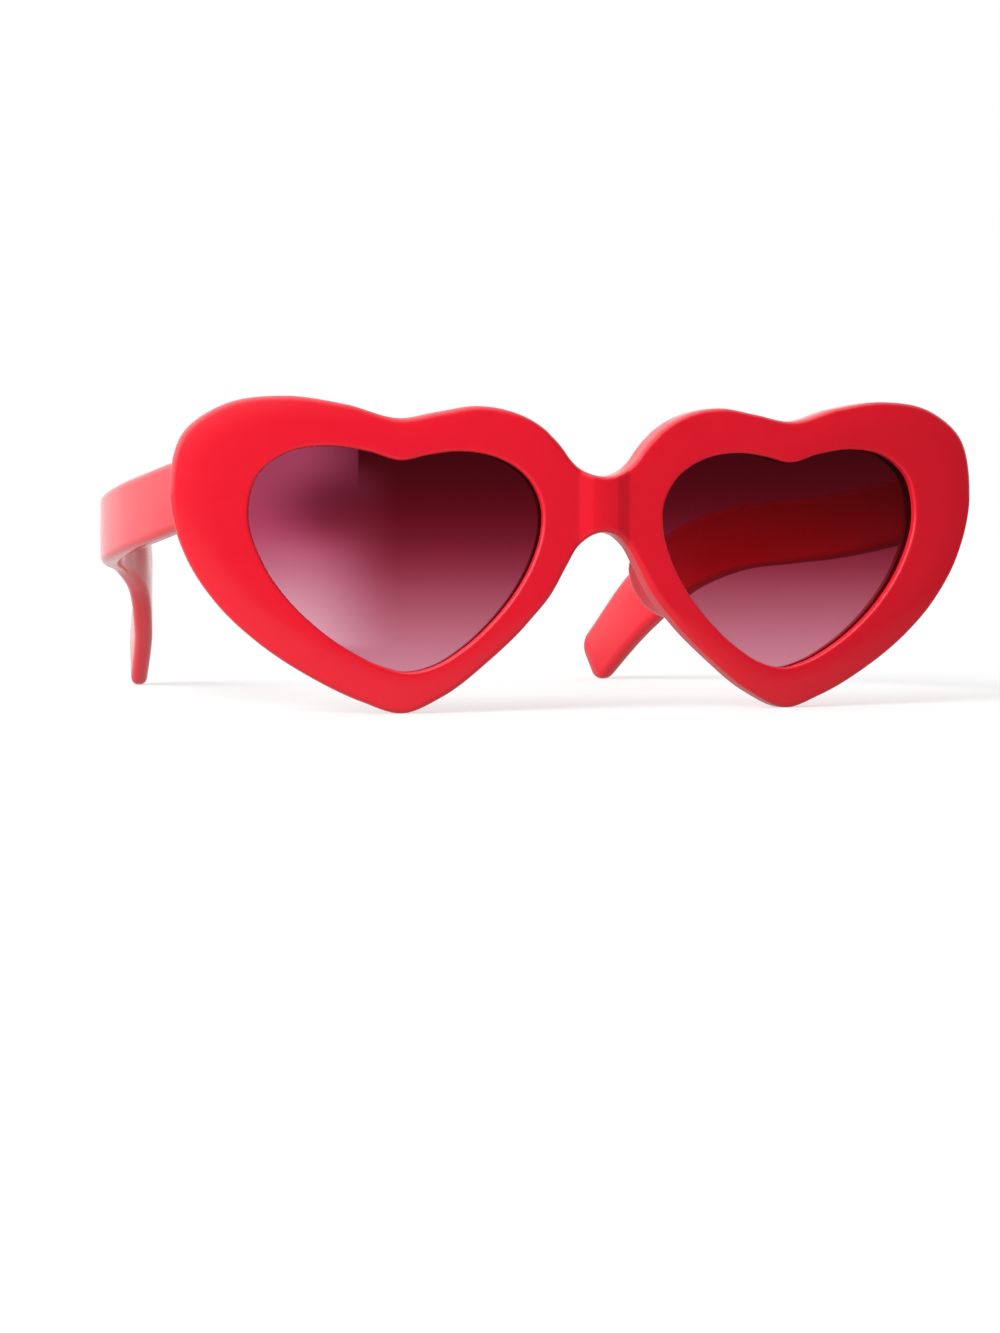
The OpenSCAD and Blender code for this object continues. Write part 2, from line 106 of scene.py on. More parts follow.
def lean(a, b, c):
    """Direction of a smooth curve at b, between a and c."""
    d, e = np.linalg.norm(b - a), np.linalg.norm(c - b)
    return ((b - a) / d * e + (c - b) / e * d) / (d + e)


def smooth_curve(points, samples, closed):
    """Smooth curve through the points."""
    p = [np.array(q, float) for q in points]
    count, out = len(p), []
    for i in range(count if closed else count - 1):
        b, c = p[i], p[(i + 1) % count]
        d = np.linalg.norm(c - b)
        straight = (c - b) / d
        leave = lean(p[i - 1], b, c) if closed or i > 0 else straight
        arrive = lean(b, c, p[(i + 2) % count]) if closed or i < count - 2 else straight
        for t in np.arange(samples) / samples:
            out.append((2 * t**3 - 3 * t**2 + 1) * b + (t**3 - 2 * t**2 + t) * d * leave
                       + (3 * t**2 - 2 * t**3) * c + (t**3 - t**2) * d * arrive)
    if not closed:
        out.append(p[-1])
    return np.array(out)


def inward(curve):
    """Unit vectors to the left of a closed curve, at each of its points."""
    w = np.roll(curve, -1, 0) - np.roll(curve, 1, 0)
    left = np.stack([-w[:, 1], w[:, 0]], 1)
    return left / np.linalg.norm(left, axis=1)[:, None]


def bowed(flat, depth):
    """Places of the points of the unrolled front, that far behind its bowed face."""
    flat, depth = np.asarray(flat), np.asarray(depth)
    turn, r = flat[..., 0] / BOW_R, BOW_R - depth
    return np.stack([r * np.sin(turn), FRONT_Y + BOW_R - r * np.cos(turn),
                     flat[..., 1]], -1)


def welded(mesh, reach):
    """Merges the points that lie within reach, and turns the normals outwards."""
    bm = bmesh.new()
    bm.from_mesh(mesh)
    bmesh.ops.remove_doubles(bm, verts=bm.verts, dist=reach)
    bmesh.ops.recalc_face_normals(bm, faces=bm.faces)
    bm.to_mesh(mesh)
    bm.free()


def shade(piece):
    """Smooth shading that breaks at sharp edges."""
    mesh = piece.data
    mesh.polygons.foreach_set("use_smooth", [True] * len(mesh.polygons))
    mesh.set_sharp_from_angle(angle=SHARP)


def painted(piece, paint):
    """Gives a piece one material alone."""
    piece.data.materials.clear()
    piece.data.materials.append(paint)


def solid(name, points, faces, paint=None):
    """A piece made of a closed skin, with outward normals and smooth shading."""
    mesh = bpy.data.meshes.new(name)
    mesh.from_pydata([tuple(p) for p in points], [], faces)
    welded(mesh, WELD)
    piece = linked(name, mesh)
    shade(piece)
    if paint:
        painted(piece, paint)
    return piece


def ring_faces(rings, size, loop):
    """Faces of a skin that joins rings of points; a loop closes on itself."""
    faces = []
    for i in range(rings if loop else rings - 1):
        k = (i + 1) % rings
        for j in range(size):
            m = (j + 1) % size
            faces.append((i * size + j, i * size + m, k * size + m, k * size + j))
    if not loop:
        faces.append(tuple(range(size - 1, -1, -1)))
        faces.append(tuple((rings - 1) * size + j for j in range(size)))
    return faces


def arc(start, end, steps):
    """Angles from start to end, given in degrees."""
    return np.radians(np.linspace(start, end, steps))


def mirrored(points, side):
    """The points on the wearer's left as they are, or turned over to the right."""
    return np.asarray(points) * np.array([side, 1, 1])


def eased(x, start, end):
    """Share of the way from start to end, soft at both."""
    share = np.clip((np.abs(x) - start) / (end - start), 0, 1)
    return share ** 2 * (3 - 2 * share)


def finished(piece):
    """Puts the result of a piece's modifiers in its mesh, and removes them."""
    graph = bpy.context.evaluated_depsgraph_get()
    mesh = bpy.data.meshes.new_from_object(piece.evaluated_get(graph))
    piece.modifiers.clear()
    piece.data = mesh


def joined(piece, other, operation):
    """A boolean of two closed pieces; the second one is used up."""
    step = piece.modifiers.new("join", "BOOLEAN")
    step.object, step.operation, step.solver = other, operation, "MANIFOLD"
    finished(piece)
    bpy.data.objects.remove(other)


outer_line = smooth_curve([(HEART_IN + u * HEART_W, v * HEART_H) for u, v in HEART_SHARES],
                          RIM_SAMPLES, True)
opening_line = smooth_curve([(OPENING_IN + u * OPENING_W, POINT_WALL + v * OPENING_H)
                             for u, v in OPENING_SHARES], RIM_SAMPLES, True)


def rim_points():
    """The skin of one rim, ring by ring: back edge, side, crowned face, opening, groove."""
    into, out = inward(outer_line), -inward(opening_line)
    wide = np.linalg.norm(outer_line - opening_line, axis=1) - FRONT_ROUND - OPENING_ROUND
    crown_w = np.minimum(CROWN_W, CROWN_SHARE * wide)
    crown_h = CROWN_H * np.clip((wide - CROWN_START) / (CROWN_W - CROWN_START), 0, 1)
    crown_h *= eased(outer_line[:, 0], FLAT_END, CROWN_FULL)
    fall = np.arctan2(2 * crown_h, crown_w)
    rings = []

    def put(line, side, inset, depth):
        """Adds a ring: a line moved aside by an inset, at a depth behind the bowed face."""
        inset, depth = np.broadcast_to(inset, len(line)), np.broadcast_to(depth, len(line))
        rings.append(bowed(line + side * inset[:, None], depth))

    for a in arc(90, 0, BACK_STEPS):
        put(outer_line, into, BACK_ROUND * (1 - math.cos(a)),
            FRONT_T - BACK_ROUND * (1 - math.sin(a)))
    lowered = crown_h - FRONT_ROUND * (1 - np.cos(fall))
    for share in np.linspace(0, 1, FRONT_STEPS):
        a = share * (math.pi / 2 - fall)
        put(outer_line, into, FRONT_ROUND * (1 - np.cos(a)),
            FRONT_ROUND * (1 - np.sin(a)) + lowered)
    start = outer_line + into * (FRONT_ROUND * (1 - np.sin(fall)))[:, None]
    end = opening_line + out * OPENING_ROUND
    run = np.linalg.norm(end - start, axis=1)
    for share in np.linspace(0, 1, FACE_STEPS)[1:-1]:
        gone = np.clip(share * run / crown_w, 0, 1)
        rings.append(bowed(start + share * (end - start), crown_h * (1 - gone) ** 2))
    for a in arc(90, 0, OPENING_STEPS):
        put(opening_line, out, OPENING_ROUND * (1 - math.cos(a)),
            OPENING_ROUND * (1 - math.sin(a)))
    for inset, depth in ((0, GROOVE_BACK), (GROOVE_DEPTH, GROOVE_BACK),
                         (GROOVE_DEPTH, GROOVE_BACK + GROOVE_W), (0, GROOVE_BACK + GROOVE_W)):
        put(opening_line, out, inset, depth)
    for a in arc(0, 90, LIP_STEPS):
        put(opening_line, out, BACK_ROUND / 2 * (1 - math.cos(a)),
            FRONT_T - BACK_ROUND / 2 * (1 - math.sin(a)))
    return np.stack(rings, 1)


rim = rim_points()
rim_faces = ring_faces(len(rim), rim.shape[1], True)
front = solid("front", rim.reshape(-1, 3), rim_faces)
joined(front, solid("rim_right", mirrored(rim.reshape(-1, 3), -1), rim_faces), "UNION")

# Bridge: left standing between the hearts, with an arched underside and a raised bar whose
# flanks slant back to the rims. It is one piece with the front.
BRIDGE_Z, BRIDGE_H, BRIDGE_BACK = HEART_H - 24.7 * MM, 10.3 * MM, 4.3 * MM
BAR_LAND, BAR_BASE, BAR_CROWN, BAR_SOFT = 2.4 * MM, 4.95 * MM, 0.14 * MM, 0.2 * MM
BRIDGE_ROUND, JOIN_ROUND, BRIDGE_FLUSH = 1 * MM, 1.27 * MM, -0.0006 * MM
JOIN_START, DRAWN_START, BRIDGE_END, DRAWN_IN = 6.5 * MM, 9.9 * MM, 10.6 * MM, 0.14 * MM
BAR_REACH, BAR_SAMPLES, SOFT_SAMPLES = 16 * MM, 1601, 60
SECTIONS, EDGE_SAMPLES, EDGE_STEPS, MIDDLE_STEPS = 213, 24, 9, 14
TOP_SHARES = [(0.628, 1.748), (0.564, 1.650), (0.473, 1.481), (0.390, 1.301), (0.244, 1.102),
              (0, 1), (-0.244, 1.102), (-0.390, 1.301), (-0.473, 1.481), (-0.564, 1.650),
              (-0.628, 1.748)]
ARCH_SHARES = [(-0.65, -1.19), (-0.579, -1.023), (-0.44, -0.62), (-0.28, -0.22),
               (-0.14, -0.05), (0, 0), (0.14, -0.05), (0.28, -0.22), (0.44, -0.62),
               (0.579, -1.023), (0.65, -1.19)]


def edge_height(shares, x):
    """Height of an edge of the bridge at each x; it runs on straight past its end."""
    line = smooth_curve([(u * HEART_GAP, BRIDGE_Z + v * BRIDGE_H) for u, v in shares],
                        EDGE_SAMPLES, False)
    line = line[np.argsort(line[:, 0])]
    slope = (line[-1, 1] - line[-4, 1]) / (line[-1, 0] - line[-4, 0])
    past = np.clip(np.abs(x) - line[-1, 0], 0, None)
    return np.interp(x, line[:, 0], line[:, 1]) + slope * past


def bar_depth(x):
    """How far the bridge's face lies behind the bowed face at each x; the bar stands proud."""
    fine = np.linspace(-BAR_REACH, BAR_REACH, BAR_SAMPLES)
    away = np.abs(fine)
    hard = np.interp(away, [0, BAR_LAND, BAR_BASE], [0, BAR_CROWN - BAR_PROUD, BRIDGE_FLUSH])
    hard = np.where(away < BAR_LAND, BAR_CROWN * (away / BAR_LAND) ** 2 - BAR_PROUD, hard)
    near = np.arange(-SOFT_SAMPLES, SOFT_SAMPLES + 1)
    kernel = np.exp(-0.5 * (near * (fine[1] - fine[0]) / BAR_SOFT) ** 2)
    soft = np.convolve(np.pad(hard, SOFT_SAMPLES, "edge"), kernel / kernel.sum(), "valid")
    return np.interp(x, fine, soft)


def back_depth(x):
    """How far the bridge's back lies behind the bowed face; at the hearts it is flush."""
    return BRIDGE_BACK + (FRONT_T - BRIDGE_FLUSH - BRIDGE_BACK) * eased(x, 0, HEART_IN)


def bridge_rings():
    """Sections of the bridge from one heart to the other."""
    x = np.linspace(-BRIDGE_END, BRIDGE_END, SECTIONS)
    soft = BRIDGE_ROUND + (JOIN_ROUND - BRIDGE_ROUND) * eased(x, JOIN_START, BRIDGE_END)
    edges = []
    for shares, up in ((ARCH_SHARES, 1), (TOP_SHARES, -1)):
        z = edge_height(shares, x)
        inside = np.stack([0 * x, up * np.hypot(1, np.gradient(z, x))], 1)
        line = np.stack([x, z + up * DRAWN_IN * eased(x, DRAWN_START, BRIDGE_END)], 1)
        rows = []
        for a in arc(90, 0, BACK_STEPS):
            flat = line + inside * BACK_ROUND * (1 - math.cos(a))
            rows.append(bowed(flat, back_depth(flat[:, 0]) - BACK_ROUND * (1 - math.sin(a))))
        for a in arc(0, 90, EDGE_STEPS):
            flat = line + inside * (soft * (1 - math.cos(a)))[:, None]
            rows.append(bowed(flat, bar_depth(flat[:, 0]) + soft * (1 - math.sin(a))))
        edges.append((rows, flat))
    (low, low_line), (high, high_line) = edges
    face = []
    for share in np.linspace(0, 1, MIDDLE_STEPS)[1:-1]:
        flat = (1 - share) * low_line + share * high_line
        face.append(bowed(flat, bar_depth(flat[:, 0])))
    return np.stack(low + face + high[::-1], 1)


bridge = bridge_rings()
joined(front, solid("bridge", bridge.reshape(-1, 3),
                    ring_faces(len(bridge), bridge.shape[1], False)), "UNION")

# Red acetate: opaque, tumbled to a soft gloss. The eye sees an even, saturated red with a
# slightly uneven depth of colour, and a polish that is not quite a mirror.
RED, DEEP_RED = "#ec1a2f", "#e3162b"
CLOUD_MM, POLISH_MM, RIPPLE_MM = 22, 3.5, 1.6
NOISE_LOW, NOISE_HIGH = 0.3, 0.7
GLOSSY, DULL, ACETATE_IOR = 0.1, 0.17, 1.48
RIPPLE_H, RIPPLE_STRENGTH = 0.02 * MM, 0.04


def linear(colour):
    """Linear RGBA of an sRGB hex colour."""
    parts = [int(colour[i:i + 2], 16) / 255 for i in (1, 3, 5)]
    return tuple(c / 12.92 if c <= 0.04045 else ((c + 0.055) / 1.055) ** 2.4
                 for c in parts) + (1,)


def add(tree, kind, sockets={}, **settings):
    """Adds a node with its settings, and fills its sockets with values or links."""
    node = tree.nodes.new(kind)
    for name, value in settings.items():
        setattr(node, name, value)
    for name, value in sockets.items():
        if isinstance(value, bpy.types.NodeSocket):
            tree.links.new(value, node.inputs[name])
        else:
            node.inputs[name].default_value = value
    return node


def material(name):
    """A new material and its emptied tree, with the output node."""
    made = bpy.data.materials.new(name)
    made.use_nodes = True
    tree = made.node_tree
    tree.nodes.clear()
    return made, tree, tree.nodes.new("ShaderNodeOutputMaterial")


def ranged(tree, value, start, end, low=0.0, high=1.0, kind="LINEAR"):
    """The value, carried from one range to another and held within it."""
    return add(tree, "ShaderNodeMapRange", {
        "Value": value, "From Min": start, "From Max": end, "To Min": low, "To Max": high},
        interpolation_type=kind).outputs["Result"]


def noise(tree, place, size_mm, detail, roughness=0.5):
    """A cloudy pattern with patches of about that many millimetres."""
    return add(tree, "ShaderNodeTexNoise", {
        "Vector": place, "Scale": 1 / (size_mm * MM), "Detail": detail,
        "Roughness": roughness}).outputs["Fac"]


def red_acetate():
    """Solid dyed plastic: two near reds in clouds, and a polish that varies a little."""
    made, tree, out = material("red acetate")
    place = add(tree, "ShaderNodeTexCoord").outputs["Object"]
    colour = add(tree, "ShaderNodeMix", {
        "Factor": noise(tree, place, CLOUD_MM, 2), "A": linear(RED), "B": linear(DEEP_RED)},
        data_type="RGBA")
    rough = ranged(tree, noise(tree, place, POLISH_MM, 3, 0.6), NOISE_LOW, NOISE_HIGH,
                   GLOSSY, DULL)
    bump = add(tree, "ShaderNodeBump", {
        "Height": noise(tree, place, RIPPLE_MM, 1, 0.4), "Strength": RIPPLE_STRENGTH,
        "Distance": RIPPLE_H})
    skin = add(tree, "ShaderNodeBsdfPrincipled", {
        "Base Color": colour.outputs["Result"], "Roughness": rough, "IOR": ACETATE_IOR,
        "Normal": bump.outputs["Normal"]})
    tree.links.new(skin.outputs[0], out.inputs["Surface"])
    return made


red_plastic = red_acetate()

# Hinge pockets: milled into the back of the front and the inner faces of the temples, so
# that the hinge plates lie almost flush. The hinge screw stands at the pin's place.
HINGE_Z, HINGE_H, TEMPLE_INSET, TEMPLE_T = HEART_H - 17.5 * MM, 7.5 * MM, 1.9 * MM, 4.2 * MM
KNUCKLE_R, KNUCKLE_ROOM, KNUCKLE_H = 1.6 * MM, 0.35 * MM, 7.3 * MM / 3
LEAF_T, LEAF_PROUD, LEAF_PLAY = 1 * MM, 0.1 * MM, 0.08 * MM
FRONT_LEAF_W, TEMPLE_LEAF_L, TEMPLE_LEAF_H = 4.2 * MM, 11 * MM, 6.5 * MM
PIN_OUT, PIN_BACK = TEMPLE_T + KNUCKLE_ROOM + KNUCKLE_R, KNUCKLE_ROOM + KNUCKLE_R
HINGE_S = HEART_IN + HEART_W - TEMPLE_INSET
PIN_PLACE = bowed((HINGE_S - PIN_OUT, HINGE_Z), FRONT_T + PIN_BACK)
PIN_TURN = (HINGE_S - PIN_OUT) / BOW_R
CUT_OVER = 1 * MM
SIDES = {"left": 1, "right": -1}
BLOCK_FACES = [(0, 1, 3, 2), (4, 6, 7, 5), (0, 4, 5, 1), (2, 3, 7, 6), (0, 2, 6, 4),
               (1, 5, 7, 3)]


def block(name, low, high, turn, side):
    """A box given in the hinge's own frame: its corners, the turn of the frame, the side."""
    corners = [Vector((x, y, z)) for x in (low[0], high[0]) for y in (low[1], high[1])
               for z in (low[2], high[2])]
    placed = [Matrix.Rotation(turn, 3, "Z") @ c + Vector(PIN_PLACE) for c in corners]
    return solid(name, mirrored([tuple(p) for p in placed], side), BLOCK_FACES)


for side in SIDES.values():
    face = LEAF_PROUD - PIN_BACK
    joined(front, block(
        "pocket",
        (-FRONT_LEAF_W - LEAF_PLAY, face - LEAF_T - LEAF_PLAY, -HINGE_H / 2 - LEAF_PLAY),
        (KNUCKLE_R + LEAF_PLAY, face + CUT_OVER, HINGE_H / 2 + LEAF_PLAY),
        PIN_TURN, side), "DIFFERENCE")
painted(front, red_plastic)
shade(front)
even = front.modifiers.new("even light", "WEIGHTED_NORMAL")
even.keep_sharp = True
finished(front)
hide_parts("frame_front")
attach(front, "front")

# Lenses: heart shaped plates of dyed plastic, dipped so that the wine tint is deep at the top
# and fades to rose at the bottom. The tint is also darker than the dye alone: painted
# shade, standing in for a face in shade behind the lenses. Each one snaps into the groove
# of its opening.
LENS_FRONT, LENS_T, LENS_GROW = 1.38 * MM, 1.8 * MM, 0.9 * MM
LENS_SHRINK = (1, 0.985, 0.95, 0.9, 0.82, 0.72, 0.6, 0.48, 0.36, 0.24, 0.12, 0.04)
LENS_EVERY, LENS_ROUGH, LENS_IOR = 2, 0.02, 1.45
# Stops of the dip from the foot up; each is darker than the dye alone, painted shade of a face
# in shade behind the lens.
TINT_AND_PAINTED_SHADE = [(0.0, "#ca8295"), (0.127, "#bd7083"), (0.24, "#ad5a6c"), (0.353, "#9b4256"),
        (0.46, "#872a3e"), (0.58, "#711427"), (0.72, "#590715"), (0.874, "#46030c"),
        (1.0, "#3c0209")]


def gradient_lens():
    """Dyed plastic with painted shade lets light through in its own colour, so lamps reach
    what is behind it.
    """
    made, tree, out = material("gradient dyed lens plastic with painted shade")
    place = add(tree, "ShaderNodeTexCoord").outputs["Object"]
    height = add(tree, "ShaderNodeSeparateXYZ", {"Vector": place}).outputs["Z"]
    share = ranged(tree, height, POINT_WALL, POINT_WALL + OPENING_H)
    ramp = add(tree, "ShaderNodeValToRGB", {"Fac": share})
    ramp.color_ramp.interpolation = "B_SPLINE"
    stops = ramp.color_ramp.elements
    while len(stops) < len(TINT_AND_PAINTED_SHADE):
        stops.new(0.5)
    for stop, (at, colour) in zip(stops, TINT_AND_PAINTED_SHADE):
        stop.position, stop.color = at, linear(colour)
    glass = add(tree, "ShaderNodeBsdfPrincipled", {
        "Base Color": ramp.outputs["Color"], "Roughness": LENS_ROUGH, "IOR": LENS_IOR,
        "Transmission Weight": 1.0})
    clear = add(tree, "ShaderNodeBsdfTransparent", {"Color": ramp.outputs["Color"]})
    path = add(tree, "ShaderNodeLightPath")
    mix = add(tree, "ShaderNodeMixShader", {0: path.outputs["Is Shadow Ray"],
                                            1: glass.outputs[0], 2: clear.outputs[0]})
    tree.links.new(mix.outputs[0], out.inputs["Surface"])
    return made


lens_plastic = gradient_lens()
lens_line = (opening_line - inward(opening_line) * LENS_GROW)[::LENS_EVERY]
lens_middle = lens_line.mean(0)
lens_pair = bpy.data.collections.new("lens pair")
for name, side in SIDES.items():
    rings = [bowed(lens_middle + s * (lens_line - lens_middle), LENS_FRONT)
             for s in LENS_SHRINK[::-1]]
    rings += [bowed(lens_middle + s * (lens_line - lens_middle), LENS_FRONT + LENS_T)
              for s in LENS_SHRINK]
    lens = solid("lens_plate_" + name, mirrored(np.concatenate(rings), side),
                 ring_faces(len(rings), len(lens_line), False), lens_plastic)
    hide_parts("lens_" + name)
    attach(lens, "front")
    lens_pair.objects.link(lens)

# Nose pads: oval pads of the same red acetate, glued to the back of the rims. They lean
# towards each other and end in a smooth dome.
PAD_L, PAD_W, PAD_H, PAD_LEAN, GLUE_GAP = 14 * MM, 4.8 * MM, 6 * MM, 1.8 * MM, 0.05 * MM
PAD_SHARES, PAD_TURN = (0.062, 0.405), math.radians(-66)
DOME_END, DOME_STEPS, DOME_FULLNESS, AROUND_STEP = 86, 16, 0.6, 5

around = np.radians(np.arange(0, 360, AROUND_STEP))
for name, side in SIDES.items():
    rings = []
    for b in arc(0, DOME_END, DOME_STEPS):
        rise, size = PAD_H * math.sin(b), math.cos(b) ** DOME_FULLNESS
        u, v = PAD_L / 2 * size * np.cos(around), PAD_W / 2 * size * np.sin(around)
        x = (HEART_IN + PAD_SHARES[0] * HEART_W + u * math.cos(PAD_TURN)
             - v * math.sin(PAD_TURN) - PAD_LEAN * (rise / PAD_H) ** 2)
        z = PAD_SHARES[1] * HEART_H + u * math.sin(PAD_TURN) + v * math.cos(PAD_TURN)
        rings.append(bowed(np.stack([x, z], 1), FRONT_T + GLUE_GAP + rise))
    pad = solid("nose_rest_" + name, mirrored(np.concatenate(rings), side),
                ring_faces(len(rings), len(around), False), red_plastic)
    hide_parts("nose_pad_" + name)
    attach(pad, "front")

# Temples: flat arms of the same red acetate, with soft long edges and a round end. They run
# back, wrap inwards and bend down to their tips. The front end is mitred to the bow.
TEMPLE_L, TEMPLE_H, TEMPLE_WRAP = 121.5 * MM, 13.8 * MM, 23.5 * MM
TEMPLE_ROUND, TIP_ROUND, BUTT_GAP, TIP_REST_SHARE = 1.5 * MM, 4.5 * MM, 0.25 * MM, 0.402
TEMPLE_SHARES = [
    (0, 0, 0, 0.91, 1), (0.13, -0.07, 0.068, 0.93, 1), (0.295, -0.092, 0.139, 0.945, 1),
    (0.443, -0.016, 0.194, 0.955, 1), (0.557, 0.14, 0.226, 0.965, 1),
    (0.656, 0.38, 0.266, 0.98, 0.98), (0.754, 0.64, 0.385, 1, 0.95),
    (0.869, 0.85, 0.655, 0.96, 0.9), (1, 1, 1, 0.84, 0.82)]
BACK_PLACE = bowed((HINGE_S, HINGE_Z), FRONT_T)
BACK_TURN = HINGE_S / BOW_R
TEMPLE_DROP = HINGE_Z - TEMPLE_H * TIP_REST_SHARE
COURSE_SAMPLES, CORNER_STEPS, TIP_START, TIP_END, TIP_STEPS = 20, 8, 8, 86, 12
SLOT_REACH = 1.5 * KNUCKLE_R
SPLAY = math.atan2(TEMPLE_SHARES[1][1] * TEMPLE_WRAP, TEMPLE_SHARES[1][0] * TEMPLE_L)

course = smooth_curve([
    (BACK_PLACE[1] + BUTT_GAP + s[0] * TEMPLE_L, BACK_PLACE[0] - s[1] * TEMPLE_WRAP,
     HINGE_Z - s[2] * TEMPLE_DROP, s[3] * TEMPLE_H, s[4] * TEMPLE_T)
    for s in TEMPLE_SHARES], COURSE_SAMPLES, False)


def temple_section(height, thick, r):
    """Corner points of a temple's section, from the outer face inwards."""
    points = []
    for x, up, start in ((0, 1, 0), (-1, 1, 90), (-1, -1, 180), (0, -1, 270)):
        for a in arc(start, start + 90, CORNER_STEPS):
            points.append((x * thick + (-r if x == 0 else r) + r * math.cos(a),
                           up * (height / 2 - r) + r * math.sin(a)))
    return points


def temple_ring(i, height, thick, r, ahead):
    """The section at a point of the temple's course, or that far ahead of it."""
    step = course[min(i + 1, len(course) - 1)] - course[max(i - 1, 0)]
    ahead_of = step[[1, 0, 2]] / np.linalg.norm(step[:3])
    outwards = np.array([ahead_of[1], -ahead_of[0], 0]) / np.hypot(*ahead_of[:2])
    upwards = np.cross(outwards, ahead_of)
    middle = course[i][[1, 0, 2]] + ahead * ahead_of
    slack = (course[i][4] - thick) / 2
    return [middle + (u - slack) * outwards + v * upwards
            for u, v in temple_section(height, thick, r)]


temple_rings = []
for i, (*_, height, thick) in enumerate(course):
    ring = temple_ring(i, height, thick, TEMPLE_ROUND, 0)
    if i == 0:
        mitre = math.tan(BACK_TURN)
        ring = [(p[0], BACK_PLACE[1] + BUTT_GAP + (p[0] - BACK_PLACE[0]) * mitre, p[2])
                for p in ring]
    temple_rings.append(ring)
last = len(course) - 1
for a in arc(TIP_START, TIP_END, TIP_STEPS):
    shrink = 1 - math.cos(a)
    temple_rings.append(temple_ring(
        last, course[last][3] - 2 * TIP_ROUND * shrink,
        course[last][4] - 2 * TEMPLE_ROUND * shrink,
        TEMPLE_ROUND * (1 + 3 * math.cos(a)) / 4, TIP_ROUND * math.sin(a)))
temple_faces = ring_faces(len(temple_rings), len(temple_rings[0]), False)

for name, side in SIDES.items():
    arm = solid("temple_arm_" + name, mirrored(np.concatenate(temple_rings), side),
                temple_faces)
    face = PIN_OUT - TEMPLE_T - LEAF_PROUD
    joined(arm, block(
        "pocket", (face - CUT_OVER, KNUCKLE_R - LEAF_PLAY, -TEMPLE_LEAF_H / 2 - LEAF_PLAY),
        (face + LEAF_T + LEAF_PLAY, KNUCKLE_R + TEMPLE_LEAF_L + LEAF_PLAY,
         TEMPLE_LEAF_H / 2 + LEAF_PLAY), SPLAY, side), "DIFFERENCE")
    joined(arm, block(
        "slot", (0, -KNUCKLE_R / 2 - LEAF_PLAY - CUT_OVER, -KNUCKLE_H / 2 - LEAF_PLAY),
        (face + LEAF_T + LEAF_PLAY, SLOT_REACH + LEAF_PLAY,
         KNUCKLE_H / 2 + LEAF_PLAY), SPLAY, side), "DIFFERENCE")
    painted(arm, red_plastic)
    shade(arm)
    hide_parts("temple_" + name)
    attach(arm, "temple_arm_" + name)

# Core wires: drawn steel, shot into the temples while the plastic is hot. The red plastic is
# opaque, so they never show, and the nodes only get the finish of bright drawn wire.
DRAWN_MM, GRAIN_H = 0.4, 0.01 * MM
TONE_LOW, TONE_HIGH, DARK_SHARE, ROUGH_LOW, ROUGH_HIGH = 0.82, 1.0, 0.78, 0.8, 1.25


def metal(name, colour, grain, roughness, coarse_mm, strength):
    """Metal with a fine grain along one direction, given by a stretch of its pattern."""
    made, tree, out = material(name)
    place = add(tree, "ShaderNodeTexCoord").outputs["Object"]
    turned = add(tree, "ShaderNodeMapping", {"Vector": place, "Scale": grain})
    grains = noise(tree, turned.outputs["Vector"], coarse_mm, 4)
    dark = tuple(DARK_SHARE * c for c in linear(colour)[:3]) + (1,)
    shaded = add(tree, "ShaderNodeMix", {
        "Factor": ranged(tree, grains, NOISE_LOW, NOISE_HIGH, TONE_LOW, TONE_HIGH),
        "A": dark, "B": linear(colour)}, data_type="RGBA")
    rough = ranged(tree, grains, NOISE_LOW, NOISE_HIGH, ROUGH_LOW * roughness,
                   ROUGH_HIGH * roughness)
    bump = add(tree, "ShaderNodeBump", {"Height": grains, "Strength": strength,
                                        "Distance": GRAIN_H})
    skin = add(tree, "ShaderNodeBsdfPrincipled", {
        "Base Color": shaded.outputs["Result"], "Metallic": 1.0, "Roughness": rough,
        "Normal": bump.outputs["Normal"]})
    tree.links.new(skin.outputs[0], out.inputs["Surface"])
    return made


# Drawn steel gives a bright grey with fine lines along the wire.
drawn_wire = metal("drawn steel wire", "#b9bbbf", grain=(1, 0.05, 1), roughness=0.3,
                   coarse_mm=DRAWN_MM, strength=0.2)
for name in SIDES:
    painted(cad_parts["core_wire_" + name], drawn_wire)

# Hinges: plates and knuckles of nickel silver, stamped and then brushed across. Their edges
# are broken, and a slotted steel screw goes down through the three knuckles.
BROKEN_EDGE, EDGE_SEGMENTS, BRUSH_MM, CAD_WELD = 0.09 * MM, 2, 0.25, 1e-6

# Brushed nickel silver gives a warm grey with a soft shine, drawn out across the plate.
nickel_silver = metal("brushed nickel silver", "#cfc8bb", grain=(0.08, 1, 1),
                      roughness=0.28, coarse_mm=BRUSH_MM, strength=0.25)
# Turned steel gives a colder, brighter grey than the plates.
turned_steel = metal("turned screw steel", "#d3d5d8", grain=(1, 1, 0.1), roughness=0.2,
                     coarse_mm=BRUSH_MM, strength=0.15)


def broken_edges(node, name, paint, body):
    """A merged copy of a node's solid with its edges broken, in its place."""
    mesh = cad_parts[node].data.copy()
    welded(mesh, CAD_WELD)
    piece = linked(name, mesh)
    painted(piece, paint)
    step = piece.modifiers.new("edges", "BEVEL")
    step.width, step.segments, step.limit_method = BROKEN_EDGE, EDGE_SEGMENTS, "ANGLE"
    step.angle_limit, step.harden_normals = SHARP, False
    finished(piece)
    shade(piece)
    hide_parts(node)
    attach(piece, body)


for name in SIDES:
    broken_edges("hinge_front_leaf_" + name, "front_plate_" + name, nickel_silver,
                 "front")
    broken_edges("hinge_temple_leaf_" + name, "temple_plate_" + name, nickel_silver,
                 "temple_arm_" + name)
    broken_edges("hinge_screw_" + name, "pin_screw_" + name, turned_steel, "front")

